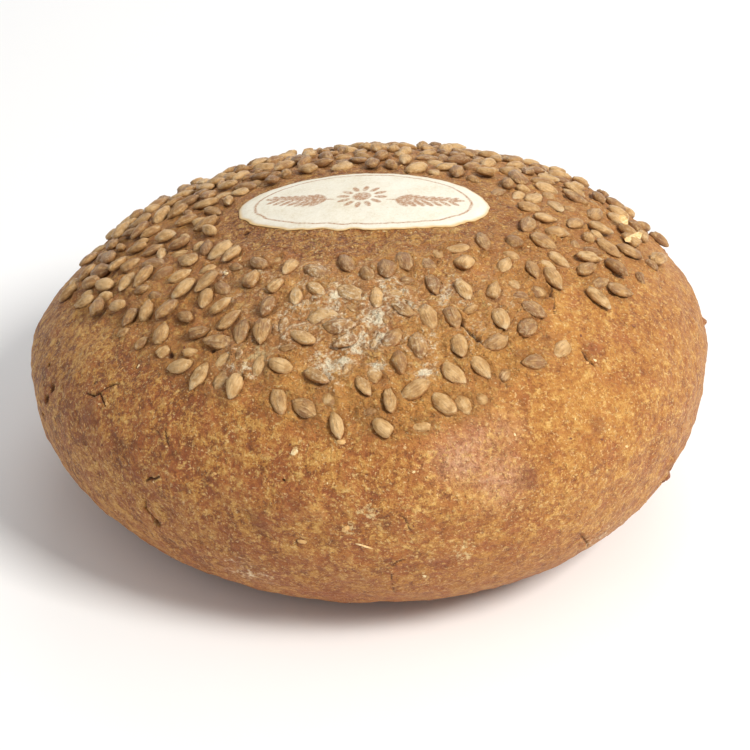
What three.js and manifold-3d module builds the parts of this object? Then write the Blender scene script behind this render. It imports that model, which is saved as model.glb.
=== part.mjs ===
// A round sunflower seed loaf, baked free-standing on a hearth, with an oval wafer label on its crown.
// Millimetres, +Z up. The origin is the centre of the flat base that the loaf rests on, and -Y is its front.
import * as THREE from "three";
import { mergeVertices } from "three/addons/utils/BufferGeometryUtils.js";
import Module from "manifold-3d";

// Driving dimensions of the loaf
const HALF_WIDTH = 110;
const WIDEST_LEVEL = 46.8;
const CROWN_RISE = 52;
const BASE_RADIUS = 70;

// Exponents of the two superelliptic quarter arcs: the crown above the widest level, the flank below it
const CROWN_ACROSS = 1.88;
const CROWN_UP = 1.78;
const FLANK_DOWN = 2.5;
const FLANK_ACROSS = 1.6;

// The loaf has risen a little more at its right, and a little less at its back
const LEAN_RIGHT = 0.097;
const LEAN_BACK = -0.088;

// How far the outline seen from above departs from a circle, as shares of the radius, and where it is longest
const OVAL = { share: 0.023, turns: 2, azimuth: -1.22 };
const ROUNDED_CORNERS = { share: 0.004, turns: 3, azimuth: -0.85 };

// Broad swells left in the crust by the oven: height, waves round the loaf, waves from crown to base, phase
const SWELLS = [
  { height: 0.9, round: 3, down: 2.3, phase: 0.7 },
  { height: 0.7, round: 5, down: 3.7, phase: 2.9 },
  { height: 0.5, round: 8, down: 5.1, phase: 4.4 },
];

// The crust's polar angle runs from the crown at 0, past the widest level at QUARTER, to the base's rim
const QUARTER = Math.PI / 2;
const RIM_ANGLE = 0.75 * Math.PI;
const CRUST_SEGMENTS = 40;
const CRUST_RINGS = 20;

// The wafer label: its size, where its middle lies in plan, and how far its length is turned from +X
const LABEL_HALF_LENGTH = 39.7;
const LABEL_HALF_WIDTH = 21.3;
const LABEL_X = -1.7;
const LABEL_Y = -7.3;
const LABEL_TURN = -0.22;
const LABEL_THICKNESS = 0.5;
const LABEL_GAP = 0.3;
const LABEL_SEGMENTS = 40;
const LABEL_RINGS = [0.25, 0.5, 0.75];
const LABEL_WAVE = { share: 0.012, waves: 11 };

// Hulled sunflower kernels, pressed into the crust
const KERNEL_LENGTH = [7.6, 9.8];
const KERNEL_SLENDERNESS = [0.56, 0.72];
const KERNEL_THICKNESS = [3.1, 4.1];
const KERNEL_POINT = 0.66;
const KERNEL_TOP = 0.62;
const KERNEL_TILT = 0.16;
const KERNEL_SINK = [-1.4, -0.3];
const KERNEL_ROOT = 1;
const KERNEL_SIDES = 4;
const KERNEL_BANDS = 3;
const KERNEL_REACH = 0.25;
const KERNEL_SPACING = 4.76;
const SPRINKLE_SEED = 7;
const SPRINKLE_DARTS = 30000;
const SPRINKLE_RADIUS = 101;
const SPRINKLE_CHANCE = 0.3;
const SPRINKLE_POWER = 4;
const SPRINKLE_EDGE = 15;

// Where the kernels lie, by azimuth in degrees: the first and last radius, and how fully they cover the crust
const SPRINKLE_SECTORS = [
  { azimuth: 0, first: 40, last: 95, cover: 0.65 },
  { azimuth: 30, first: 25, last: 98, cover: 0.92 },
  { azimuth: 60, first: 20.5, last: 92, cover: 1 },
  { azimuth: 90, first: 20.5, last: 90, cover: 1 },
  { azimuth: 120, first: 24.5, last: 92, cover: 1 },
  { azimuth: 150, first: 36, last: 98, cover: 0.97 },
  { azimuth: 180, first: 48, last: 97, cover: 0.87 },
  { azimuth: 205, first: 50, last: 89, cover: 0.87 },
  { azimuth: 230, first: 46, last: 89, cover: 0.82 },
  { azimuth: 255, first: 45.5, last: 98, cover: 0.79 },
  { azimuth: 280, first: 46.5, last: 101, cover: 0.77 },
  { azimuth: 300, first: 46, last: 98, cover: 0.67 },
  { azimuth: 320, first: 49, last: 90, cover: 0.63 },
  { azimuth: 340, first: 54, last: 89, cover: 0.85 },
  { azimuth: 360, first: 40, last: 95, cover: 0.65 },
];

// A plain linear congruential generator, so that the kernels fall in the same places every time
let sprinkleState = SPRINKLE_SEED;
function draw() {
  sprinkleState = (sprinkleState * 1664525 + 1013904223) % 4294967296;
  return sprinkleState / 4294967296;
}

const between = ([low, high], share) => low + (high - low) * share;

// The outline's reach at an azimuth, as a share of the half width
function outline(azimuth) {
  return [OVAL, ROUNDED_CORNERS].reduce(
    (sum, wave) => sum + wave.share * Math.cos(wave.turns * (azimuth - wave.azimuth)),
    1,
  );
}

// How far the broad swells lift the crust; they fade out at the crown and at the base's rim
function swell(polar, azimuth) {
  const fade = Math.sin((polar * Math.PI) / RIM_ANGLE) ** 2;
  return SWELLS.reduce(
    (sum, wave) =>
      sum +
      fade * wave.height * Math.sin(wave.round * azimuth + wave.phase) * Math.sin(wave.down * polar + wave.phase),
    0,
  );
}

// The radius and level of the loaf's profile at a polar angle
function profile(polar) {
  if (polar <= QUARTER) {
    const across = Math.sin(polar);
    const up = Math.max(0, 1 - Math.abs(across) ** CROWN_ACROSS) ** (1 / CROWN_UP);
    return [HALF_WIDTH * across, WIDEST_LEVEL + CROWN_RISE * up];
  }
  if (polar < RIM_ANGLE) {
    const down = Math.sin(((polar - QUARTER) / (RIM_ANGLE - QUARTER)) * QUARTER);
    const across = Math.max(0, 1 - down ** FLANK_DOWN) ** (1 / FLANK_ACROSS);
    return [BASE_RADIUS + (HALF_WIDTH - BASE_RADIUS) * across, WIDEST_LEVEL * (1 - down)];
  }
  return [(BASE_RADIUS * (Math.PI - polar)) / (Math.PI - RIM_ANGLE), 0];
}

// A point of the crust. Past the rim angle it lies on the flat base.
function crustPoint(polar, azimuth) {
  const [radius, level] = profile(polar);
  const lift = polar < RIM_ANGLE ? swell(polar, azimuth) : 0;
  const reach = radius * outline(azimuth) + lift * Math.sin(polar);
  const x = reach * Math.cos(azimuth);
  const y = reach * Math.sin(azimuth);
  const lean = 1 + (LEAN_RIGHT * x + LEAN_BACK * y) / HALF_WIDTH;
  return new THREE.Vector3(x, y, (level + lift * Math.cos(polar)) * lean);
}

// The crust's outward normal, from two short steps along it
function crustNormal(polar, azimuth) {
  const step = 0.01;
  const down = crustPoint(polar + step, azimuth).sub(crustPoint(polar - step, azimuth));
  const round = crustPoint(polar, azimuth + step).sub(crustPoint(polar, azimuth - step));
  return down.cross(round).normalize();
}

// The polar angle of the crown's point above a plan radius
function polarAbove(radius, azimuth) {
  return Math.asin(Math.min(1, radius / (HALF_WIDTH * outline(azimuth))));
}

// A three.js geometry as a solid for joining
function solidOf(wasm, geometry) {
  const bare = geometry.clone();
  bare.deleteAttribute("normal");
  bare.deleteAttribute("uv");
  const merged = mergeVertices(bare, 1e-4);
  return new wasm.Manifold(
    new wasm.Mesh({
      numProp: 3,
      vertProperties: new Float32Array(merged.attributes.position.array),
      triVerts: new Uint32Array(merged.index.array),
    }),
  );
}

function geometryOf(solid) {
  const { vertProperties, triVerts } = solid.getMesh();
  const geometry = new THREE.BufferGeometry();
  geometry.setAttribute("position", new THREE.BufferAttribute(new Float32Array(vertProperties), 3));
  geometry.setIndex(new THREE.BufferAttribute(new Uint32Array(triVerts), 1));
  geometry.computeVertexNormals();
  return geometry;
}

function reshape(geometry, move) {
  const position = geometry.getAttribute("position");
  const point = new THREE.Vector3();
  for (let i = 0; i < position.count; i += 1) {
    const moved = move(point.fromBufferAttribute(position, i));
    position.setXYZ(i, moved.x, moved.y, moved.z);
  }
  return geometry;
}

// The bare loaf: a sphere whose points are moved to the crust in their own directions
function bareLoaf() {
  const sphere = new THREE.SphereGeometry(1, CRUST_SEGMENTS, CRUST_RINGS).rotateX(QUARTER);
  return reshape(sphere, (p) => {
    const azimuth = Math.hypot(p.x, p.y) > 1e-6 ? Math.atan2(p.y, p.x) : 0;
    return crustPoint(Math.acos(THREE.MathUtils.clamp(p.z, -1, 1)), azimuth);
  });
}

// The sector table's values at an azimuth, blended between its two nearest rows
function sprinkleAt(degrees) {
  const after = SPRINKLE_SECTORS.findIndex((row) => row.azimuth >= degrees && row.azimuth > 0);
  const [a, b] = [SPRINKLE_SECTORS[after - 1], SPRINKLE_SECTORS[after]];
  const share = (degrees - a.azimuth) / (b.azimuth - a.azimuth);
  const blend = (key) => between([a[key], b[key]], share);
  return { first: blend("first"), last: blend("last"), cover: blend("cover") };
}

// Three spots along a kernel, which keep their distance from every other kernel's
function spotsOf(kernel) {
  return [-1, 0, 1].map((end) =>
    kernel.centre.clone().addScaledVector(kernel.along, end * KERNEL_REACH * kernel.length),
  );
}

// Kernels thrown on the crown like darts: each stays where there is room and the sector is full enough.
// Most point away from the crown, and the rest lie more or less astray.
function sprinkleKernels() {
  const kernels = [];
  for (let dart = 0; dart < SPRINKLE_DARTS; dart += 1) {
    const degrees = 360 * draw();
    const radius = SPRINKLE_RADIUS * Math.sqrt(draw());
    const astray = 2 * draw() - 1;
    const [chance, long, wide, thick, sunk, nose, roll] = Array.from({ length: 7 }, draw);
    const { first, last, cover } = sprinkleAt(degrees);
    const thinning = Math.min(1, 0.55 + (0.45 * (last - radius)) / SPRINKLE_EDGE);
    const wanted = SPRINKLE_CHANCE * (cover * thinning) ** SPRINKLE_POWER;
    if (radius < first || radius > last || chance > wanted) continue;
    const azimuth = THREE.MathUtils.degToRad(degrees);
    const turn = azimuth + Math.PI * astray * Math.abs(astray);
    const polar = polarAbove(radius, azimuth);
    const normal = crustNormal(polar, azimuth);
    const level = new THREE.Vector3(Math.cos(turn), Math.sin(turn), 0);
    const along = level.addScaledVector(normal, -level.dot(normal)).normalize();
    const length = between(KERNEL_LENGTH, long);
    const kernel = { centre: crustPoint(polar, azimuth), normal, along, length };
    kernel.width = length * between(KERNEL_SLENDERNESS, wide);
    kernel.thickness = between(KERNEL_THICKNESS, thick);
    kernel.sink = between(KERNEL_SINK, sunk);
    kernel.nose = KERNEL_TILT * (2 * nose - 1);
    kernel.roll = KERNEL_TILT * (2 * roll - 1);
    kernel.spots = spotsOf(kernel);
    const crowded = kernels.some(
      (other) =>
        other.centre.distanceTo(kernel.centre) < 2 * KERNEL_LENGTH[1] &&
        other.spots.some((a) => kernel.spots.some((b) => a.distanceTo(b) < KERNEL_SPACING)),
    );
    if (!crowded) kernels.push(kernel);
  }
  return kernels;
}

// One kernel: a four-sided drop with a narrow flat top, tapered to its point, tilted a little. Its underside
// is rooted in the dough.
function kernelGeometry(kernel) {
  const drop = new THREE.SphereGeometry(1, KERNEL_SIDES, KERNEL_BANDS, Math.PI / KERNEL_SIDES);
  const corner = Math.sin(Math.PI / KERNEL_BANDS) * Math.cos(Math.PI / KERNEL_SIDES);
  reshape(drop, (p) => {
    const taper = p.y > 0.1 ? KERNEL_POINT : 1;
    const top = p.z > 0.1 ? KERNEL_TOP : 1;
    const root = p.z < -0.1 ? KERNEL_ROOT : 0;
    return p.set(
      ((p.x / corner) * top * taper * kernel.width) / 2,
      (p.y * kernel.length) / 2,
      ((p.z / corner) * taper * kernel.thickness) / 2 - root,
    );
  });
  const across = new THREE.Vector3().crossVectors(kernel.along, kernel.normal);
  const place = new THREE.Matrix4().makeBasis(across, kernel.along, kernel.normal);
  place.setPosition(kernel.centre.clone().addScaledVector(kernel.normal, -kernel.sink));
  return drop.rotateX(kernel.nose).rotateY(kernel.roll).applyMatrix4(place);
}

// The loaf with its kernels fused on
function loafGeometry(wasm) {
  const core = solidOf(wasm, bareLoaf());
  const kernels = sprinkleKernels().map((kernel) => solidOf(wasm, kernelGeometry(kernel)));
  return geometryOf(wasm.Manifold.union([core, ...kernels]));
}

// The label: an oval wafer with a slightly wavy edge, laid over the crown just clear of the crust
function labelGeometry() {
  const rings = [0, ...LABEL_RINGS, 1];
  const under = rings.map((ring) => new THREE.Vector2(ring, 0));
  const over = rings.toReversed().map((ring) => new THREE.Vector2(ring, 1));
  const disc = new THREE.LatheGeometry([...under, ...over], LABEL_SEGMENTS).rotateX(QUARTER);
  return reshape(disc, (p) => {
    const wave = 1 + LABEL_WAVE.share * Math.sin(LABEL_WAVE.waves * Math.atan2(p.y, p.x));
    const along = p.x * wave * LABEL_HALF_LENGTH;
    const across = p.y * wave * LABEL_HALF_WIDTH;
    const x = LABEL_X + along * Math.cos(LABEL_TURN) - across * Math.sin(LABEL_TURN);
    const y = LABEL_Y + along * Math.sin(LABEL_TURN) + across * Math.cos(LABEL_TURN);
    const azimuth = Math.atan2(y, x);
    const polar = Math.max(1e-3, polarAbove(Math.hypot(x, y), azimuth));
    const height = LABEL_GAP + p.z * LABEL_THICKNESS;
    return crustPoint(polar, azimuth).addScaledVector(crustNormal(polar, azimuth), height);
  });
}

const wasm = await Module();
wasm.setup();

const crust = new THREE.MeshStandardMaterial({ color: 0xb4733a, roughness: 0.75, metalness: 0 });
const wafer = new THREE.MeshStandardMaterial({ color: 0xeae3d2, roughness: 0.85, metalness: 0 });

const loaf = new THREE.Mesh(loafGeometry(wasm), crust);
loaf.name = "loaf";
const label = new THREE.Mesh(labelGeometry(), wafer);
label.name = "wafer_label";

const bread = new THREE.Group();
bread.add(loaf, label);

export default bread;
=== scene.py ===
import math

import bpy
import numpy as np
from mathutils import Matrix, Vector, kdtree, noise


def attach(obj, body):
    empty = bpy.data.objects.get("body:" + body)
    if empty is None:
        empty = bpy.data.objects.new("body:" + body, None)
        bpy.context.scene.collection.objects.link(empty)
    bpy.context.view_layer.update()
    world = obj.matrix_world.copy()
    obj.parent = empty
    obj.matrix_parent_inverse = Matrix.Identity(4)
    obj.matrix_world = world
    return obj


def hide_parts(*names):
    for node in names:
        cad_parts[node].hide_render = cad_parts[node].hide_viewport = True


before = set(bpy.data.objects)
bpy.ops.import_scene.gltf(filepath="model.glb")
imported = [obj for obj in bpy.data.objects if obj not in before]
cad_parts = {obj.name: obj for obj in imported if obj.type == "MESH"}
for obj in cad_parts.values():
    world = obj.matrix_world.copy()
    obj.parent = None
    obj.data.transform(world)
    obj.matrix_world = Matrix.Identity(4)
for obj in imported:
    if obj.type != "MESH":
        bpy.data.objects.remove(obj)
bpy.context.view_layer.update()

# ---------------------------------------------------------------------------------------------------------
# Camera, table top and light
# The loaf stands on a plain white table in a bright room. The camera looks down on it at 30 degrees from
# 0.6 m, and the main light is a broad one from the right, in front and above.

MM = 0.001
PHOTO_SIDE = 750
CAMERA_ELEVATION = math.radians(30)
CAMERA_DISTANCE = 600 * MM
CAMERA_TARGET = Vector((0, 0, 45 * MM))
SENSOR_WIDTH = 36.0
FOCAL_PIXELS = 1830.0
TARGET_PIXEL = (367.5, 337.0)

view_direction = Vector((0, math.cos(CAMERA_ELEVATION), -math.sin(CAMERA_ELEVATION)))
bpy.ops.object.select_all(action="DESELECT")
bpy.ops.object.camera_add(location=CAMERA_TARGET - view_direction * CAMERA_DISTANCE)
camera = bpy.context.object
camera.name = "photo_camera"
camera.rotation_euler = view_direction.to_track_quat("-Z", "Y").to_euler()
camera.data.sensor_width = SENSOR_WIDTH
camera.data.lens = FOCAL_PIXELS / PHOTO_SIDE * SENSOR_WIDTH
camera.data.shift_x = 0.5 - TARGET_PIXEL[0] / PHOTO_SIDE
camera.data.shift_y = TARGET_PIXEL[1] / PHOTO_SIDE - 0.5
camera.data.clip_start = 0.01
bpy.context.scene.camera = camera

TABLE_SIDE = 6.0
bpy.ops.mesh.primitive_plane_add(size=TABLE_SIDE, location=(0, 0, 0))
table = bpy.context.object
table.name = "table_top"
table_white = bpy.data.materials.new("table_white")
table_white.use_nodes = True
table_paint = table_white.node_tree.nodes["Principled BSDF"]
table_paint.inputs["Base Color"].default_value = (0.92, 0.92, 0.92, 1)
table_paint.inputs["Roughness"].default_value = 0.9
table_paint.inputs["Specular IOR Level"].default_value = 0.1
table.data.materials.append(table_white)


def add_window(name, place, side, watts, tint):
    """A square area light that faces the middle of the loaf."""
    bpy.ops.object.light_add(type="AREA", location=place)
    window = bpy.context.object
    window.name = name
    window.rotation_euler = (CAMERA_TARGET - Vector(place)).to_track_quat("-Z", "Y").to_euler()
    window.data.size = side
    window.data.energy = watts
    window.data.color = tint


add_window("window_right", (0.75, -0.55, 0.95), 0.40, 16.5, (1.0, 0.975, 0.93))
add_window("window_left", (-1.0, -0.7, 0.9), 0.9, 1.2, (0.95, 0.97, 1.0))
add_window("window_back", (0.1, 1.1, 0.8), 0.9, 5.0, (1.0, 1.0, 1.0))

ROOM_BRIGHTNESS = 0.47
world = bpy.data.worlds.new("bright_room")
bpy.context.scene.world = world
world.use_nodes = True
room = world.node_tree.nodes["Background"]
room.inputs["Color"].default_value = (1, 1, 1, 1)
room.inputs["Strength"].default_value = ROOM_BRIGHTNESS
bpy.context.scene.view_settings.view_transform = "Standard"

# ---------------------------------------------------------------------------------------------------------
# The loaf's form
# One round hearth loaf: a low dome over flanks that tuck in to a flat base. These are the named sizes of the
# construction, in millimetres, so that the crust, the kernels and the label all lie where the solids do.

HALF_WIDTH = 110.0
WIDEST_LEVEL = 46.8
CROWN_RISE = 52.0
BASE_RADIUS = 70.0
CROWN_ACROSS, CROWN_UP = 1.88, 1.78
FLANK_DOWN, FLANK_ACROSS = 2.5, 1.6
LEAN_RIGHT, LEAN_BACK = 0.097, -0.088
OUTLINE_WAVES = [(0.023, 2, -1.22), (0.004, 3, -0.85)]  # share, turns, azimuth
SWELLS = [(0.9, 3, 2.3, 0.7), (0.7, 5, 3.7, 2.9), (0.5, 8, 5.1, 4.4)]  # height, round, down, phase
QUARTER = math.pi / 2
RIM_ANGLE = 0.75 * math.pi  # polar angle of the base's rim
NORMAL_STEP = 0.01


def outline(azimuth):
    """How far the loaf reaches in plan at an azimuth, as a share of a true round."""
    return 1 + sum(share * np.cos(turns * (azimuth - at)) for share, turns, at in OUTLINE_WAVES)


def swell(polar, azimuth):
    """Low swells of the dough, in millimetres, which fade out at the crown and the base."""
    fade = np.sin(polar * math.pi / RIM_ANGLE) ** 2
    return sum(
        fade * height * np.sin(turns * azimuth + phase) * np.sin(down * polar + phase)
        for height, turns, down, phase in SWELLS
    )


def crust_point(polar, azimuth):
    """Points of the crust in millimetres, for arrays of polar angle from the crown and azimuth."""
    crown_across = np.abs(np.sin(polar))
    crown_up = np.clip(1 - crown_across**CROWN_ACROSS, 0, 1) ** (1 / CROWN_UP)
    down = np.sin(np.clip((polar - QUARTER) / (RIM_ANGLE - QUARTER), 0, 1) * QUARTER)
    flank_across = np.clip(1 - down**FLANK_DOWN, 0, 1) ** (1 / FLANK_ACROSS)
    on_crown, on_base = polar <= QUARTER, polar >= RIM_ANGLE
    flank_radius = BASE_RADIUS + (HALF_WIDTH - BASE_RADIUS) * flank_across
    base_radius = BASE_RADIUS * (math.pi - polar) / (math.pi - RIM_ANGLE)
    radius = np.where(on_crown, HALF_WIDTH * crown_across, np.where(on_base, base_radius, flank_radius))
    level = np.where(on_crown, WIDEST_LEVEL + CROWN_RISE * crown_up, WIDEST_LEVEL * (1 - down))
    level = np.where(on_base, 0, level)
    lift = np.where(on_base, 0, swell(polar, azimuth))
    reach = radius * outline(azimuth) + lift * np.sin(polar)
    x, y = reach * np.cos(azimuth), reach * np.sin(azimuth)
    lean = 1 + (LEAN_RIGHT * x + LEAN_BACK * y) / HALF_WIDTH
    return np.stack([x, y, (level + lift * np.cos(polar)) * lean], -1)


def crust_normal(polar, azimuth):
    down = crust_point(polar + NORMAL_STEP, azimuth) - crust_point(polar - NORMAL_STEP, azimuth)
    around = crust_point(polar, azimuth + NORMAL_STEP) - crust_point(polar, azimuth - NORMAL_STEP)
    normal = np.cross(down, around)
    return normal / np.maximum(np.linalg.norm(normal, axis=-1, keepdims=True), 1e-9)


def polar_above(radius, azimuth):
    """The polar angle of the crown's point above a plan radius."""
    return np.arcsin(np.minimum(1, radius / (HALF_WIDTH * outline(azimuth))))


# ---------------------------------------------------------------------------------------------------------
# Where the kernels lie
# Hulled sunflower kernels, pressed into the wet dough before baking. They fall by the same seeded rule as in
# the construction, so each one lies on its solid's place: dense behind the label, sparse in front of it.

PRESSED = {  # the kernels that the construction has too; sizes in millimetres
    "seed": 7, "spacing": 4.76, "length": (7.6, 9.8), "slenderness": (0.56, 0.72), "thickness": (3.1, 4.1),
    "sink": (-1.4, -0.3),
}
HALF_BURIED = {  # smaller and broken ones, which fill the gaps between them
    "seed": 31, "spacing": 3.7, "length": (5.2, 8.2), "slenderness": (0.54, 0.86), "thickness": (2.4, 3.6),
    "sink": (-0.5, 0.5),
}
KERNEL_TILT = 0.16
KERNEL_REACH = 0.25  # share of a kernel's length from its middle to the spots at its ends that are kept clear
KERNEL_NEAR = 19.2
SPRINKLE_DARTS = 30000
SPRINKLE_RADIUS = 101
SPRINKLE_CHANCE, SPRINKLE_POWER = 0.3, 4
SPRINKLE_EDGE, SPRINKLE_THIN = 15, (0.55, 0.45)  # the cover thins out over this stretch inside the last radius
SPRINKLE_SECTORS = [  # azimuth, first radius, last radius, cover
    (0, 40, 95, 0.65), (30, 25, 98, 0.92), (60, 20.5, 92, 1), (90, 20.5, 90, 1), (120, 24.5, 92, 1),
    (150, 36, 98, 0.97), (180, 48, 97, 0.87), (205, 50, 89, 0.87), (230, 46, 89, 0.82),
    (255, 45.5, 98, 0.79), (280, 46.5, 101, 0.77), (300, 46, 98, 0.67), (320, 49, 90, 0.63),
    (340, 54, 89, 0.85), (360, 40, 95, 0.65),
]
SNUG_FROM, SNUG_RUN = 5, 30  # where, in front of the loaf's middle, the dough starts to rise round the kernels
SNUG_MIDDLE, SNUG_HALF_WIDTH, SNUG_FADE = 12, 30, 35


def dice(seed):
    """A plain linear congruential generator, which gives the same draws every time."""
    state = seed
    while True:
        state = (state * 1664525 + 1013904223) % 4294967296
        yield state / 4294967296


def between(ends, share):
    """The value at a share of the way from the first of two ends to the second."""
    return ends[0] + (ends[1] - ends[0]) * share


def sprinkle_at(degrees):
    """First radius, last radius and cover of the sprinkling at an azimuth."""
    after = next(i for i, row in enumerate(SPRINKLE_SECTORS) if row[0] >= degrees and row[0] > 0)
    low, high = SPRINKLE_SECTORS[after - 1], SPRINKLE_SECTORS[after]
    share = (degrees - low[0]) / (high[0] - low[0])
    return [between((a, b), share) for a, b in zip(low[1:], high[1:])]


def snug(centre):
    """1 for a kernel in the middle of the front, round which the dough has risen, and 0 far from there."""
    forward = min(1, max(0, (-centre[1] - SNUG_FROM) / SNUG_RUN))
    aside = min(1, max(0, (abs(centre[0] - SNUG_MIDDLE) - SNUG_HALF_WIDTH) / SNUG_FADE))
    return forward * (1 - aside)


def throw_kernels(sprinkle, earlier):
    """Kernels thrown at the crown like darts, each kept where it is clear of the earlier ones."""
    draw = dice(sprinkle["seed"])
    thrown = []
    for _ in range(SPRINKLE_DARTS):
        degrees = 360 * next(draw)
        radius = SPRINKLE_RADIUS * math.sqrt(next(draw))
        astray = 2 * next(draw) - 1
        chance, long, wide, thick, sunk, nose, roll = (next(draw) for _ in range(7))
        first, last, cover = sprinkle_at(degrees)
        thinning = min(1, SPRINKLE_THIN[0] + SPRINKLE_THIN[1] * (last - radius) / SPRINKLE_EDGE)
        wanted = SPRINKLE_CHANCE * (cover * thinning) ** SPRINKLE_POWER
        if radius < first or radius > last or chance > wanted:
            continue
        azimuth = math.radians(degrees)
        turn = azimuth + math.pi * astray * abs(astray)
        polar = polar_above(radius, azimuth)
        normal, centre = crust_normal(polar, azimuth), crust_point(polar, azimuth)
        level = np.array([math.cos(turn), math.sin(turn), 0])
        along = level - normal * level.dot(normal)
        along /= np.linalg.norm(along)
        length = between(sprinkle["length"], long)
        spots = centre + np.outer([-1, 0, 1], along) * KERNEL_REACH * length
        near = [k["spots"] for k in earlier + thrown if math.dist(k["centre"], centre) < KERNEL_NEAR]
        if near and np.linalg.norm(np.array(near)[:, :, None] - spots, axis=-1).min() < sprinkle["spacing"]:
            continue
        thrown.append({
            "centre": centre, "normal": normal, "along": along, "spots": spots, "length": length,
            "width": length * between(sprinkle["slenderness"], wide),
            "thickness": between(sprinkle["thickness"], thick), "sink": between(sprinkle["sink"], sunk),
            "nose": KERNEL_TILT * (2 * nose - 1), "roll": KERNEL_TILT * (2 * roll - 1),
        })
    return thrown


kernels = throw_kernels(PRESSED, [])
buried_kernels = throw_kernels(HALF_BURIED, kernels)

# ---------------------------------------------------------------------------------------------------------
# The wafer label's place, which the crust under it also needs
# A thin oval of edible wafer, laid on the dough and baked onto the crown, with its length turned a little.
# Sizes in millimetres, turn in radians.

LABEL_HALF_LENGTH, LABEL_HALF_WIDTH = 39.7, 21.3
LABEL_X, LABEL_Y, LABEL_TURN = -1.7, -7.3, -0.22
LABEL_GAP = 0.3


def label_share(x, y):
    """0 in the middle of the label, 1 at its edge, for plan points in millimetres."""
    across, up = x - LABEL_X, y - LABEL_Y
    along = across * math.cos(LABEL_TURN) + up * math.sin(LABEL_TURN)
    aside = up * math.cos(LABEL_TURN) - across * math.sin(LABEL_TURN)
    return np.hypot(along / LABEL_HALF_LENGTH, aside / LABEL_HALF_WIDTH)


# ---------------------------------------------------------------------------------------------------------
# Crust
# Wholemeal dough baked to an orange-brown skin, rough with bran, with small cracks, pits and blisters where
# gas broke through. It is one closed skin over the whole loaf, base and all, and it stands for the loaf.

CRUST_CUTS = 119
CRACK_CUTS = 3
CRACK_MARGIN, PIT_MARGIN = 1.6, 0.7

# Cracks, as photo pixels along each one, with half width and depth in millimetres
CRACKS = {
    "left_fork": ([(88, 394), (94, 396), (100, 393), (105, 406)], 0.45, 0.9),
    "left_fork_arm": ([(100, 393), (108, 386), (118, 383)], 0.4, 0.7),
    "left_low": ([(168, 422), (166, 434), (170, 446)], 0.3, 0.3),
    "left_bottom": ([(146, 500), (145, 509), (152, 516), (157, 523)], 0.5, 1.3),
    "left_slot": ([(146, 481), (150, 478), (155, 479), (160, 476)], 0.5, 0.9),
    "right_upper": ([(551, 287), (550, 297), (554, 303), (555, 313)], 0.35, 0.6),
    "right_slash": ([(583, 351), (588, 360), (595, 367)], 0.45, 1.0),
    "right_low": ([(645, 498), (642, 506), (644, 512)], 0.4, 0.7),
    "right_crease": ([(676, 468), (670, 476), (664, 487)], 0.7, 1.2),
    "kernel_crack": ([(449, 311), (456, 318), (462, 326), (474, 336), (482, 347), (492, 350)], 0.4, 0.8),
    "front_hair": ([(397, 513), (405, 519), (410, 531)], 0.25, 0.25),
    "front_low": ([(391, 567), (397, 562), (405, 560)], 0.3, 0.4),
    "bottom_hair": ([(391, 575), (394, 592)], 0.3, 0.4),
    "chin": ([(579, 533), (585, 540), (588, 546)], 0.4, 0.6),
}

# Pits left by burst gas bubbles: photo pixel, radius and depth in millimetres
PITS = {
    "left_big_top": ((52, 388), 1.6, 2.2),
    "left_big_low": ((47, 399), 1.9, 1.6),
    "left_dot": ((49, 365), 0.7, 1.0),
    "left_bead": ((43, 414), 0.8, 1.2),
    "left_flank": ((157, 523), 1.7, 2.4),
    "crown_left": ((170, 355), 1.2, 1.4),
    "crown_left_dot": ((136, 366), 0.7, 0.9),
    "front_dot": ((284, 480), 0.5, 0.9),
    "front_dot_low": ((297, 542), 0.5, 0.7),
    "mid_left": ((95, 383), 0.6, 0.8),
    "label_left": ((246, 232), 1.2, 1.0),
    "gap_dot": ((213, 351), 1.0, 1.0),
}

# Blisters and lumps, where a grain lies under the skin: photo pixel, radius and height in millimetres
BLISTERS = {
    "front_right": ((529, 480), 3.6, 0.9),
    "right": ((598, 425), 3.0, 0.7),
    "right_upper": ((590, 350), 3.2, 0.6),
    "left_upper": ((92, 412), 5.0, 0.5),
    "right_rim": ((704, 322), 1.4, 1.5),
    "front_left": ((262, 522), 3.6, 0.5),
    "right_lump": ((671, 462), 3.2, 1.5),
    "right_lump_low": ((667, 477), 2.6, 1.2),
    "front_dark": ((288, 505), 3.0, -0.4),
    "centre_right": ((548, 338), 1.6, 0.8),
    "left_dome": ((76, 295), 2.0, 0.9),
    "low_right": ((520, 355), 2.2, 0.7),
}

bpy.ops.object.select_all(action="DESELECT")
bpy.ops.mesh.primitive_cube_add(size=2)
crust = bpy.context.object
crust.name = "crust"
bpy.ops.object.mode_set(mode="EDIT")
bpy.ops.mesh.select_all(action="SELECT")
bpy.ops.mesh.subdivide(number_cuts=CRUST_CUTS)
bpy.ops.object.mode_set(mode="OBJECT")


def points_of(piece):
    flat = np.empty(len(piece.data.vertices) * 3, np.float32)
    piece.data.vertices.foreach_get("co", flat)
    return flat.reshape(-1, 3).astype(float)


def move_points(piece, points):
    piece.data.vertices.foreach_set("co", points.astype(np.float32).ravel())
    piece.data.update()


def paint(piece, name, values):
    """Keeps a number for each point of the piece, which its material reads by name."""
    layer = piece.data.attributes.new(name, "FLOAT", "POINT")
    layer.data.foreach_set("value", np.asarray(values, np.float32))


def soft_step(values, low, high):
    share = np.clip((values - low) / (high - low), 0, 1)
    return share * share * (3 - 2 * share)


# The cube's points go out to a sphere in even steps, and from there to the loaf's form
even = np.tan(points_of(crust) * math.pi / 4)
even /= np.linalg.norm(even, axis=1, keepdims=True)
polar = np.arccos(np.clip(even[:, 2], -1, 1))
azimuth = np.arctan2(even[:, 1], even[:, 0])
move_points(crust, crust_point(np.maximum(polar, 1e-4), azimuth) * MM)
bpy.context.view_layer.update()


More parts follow.
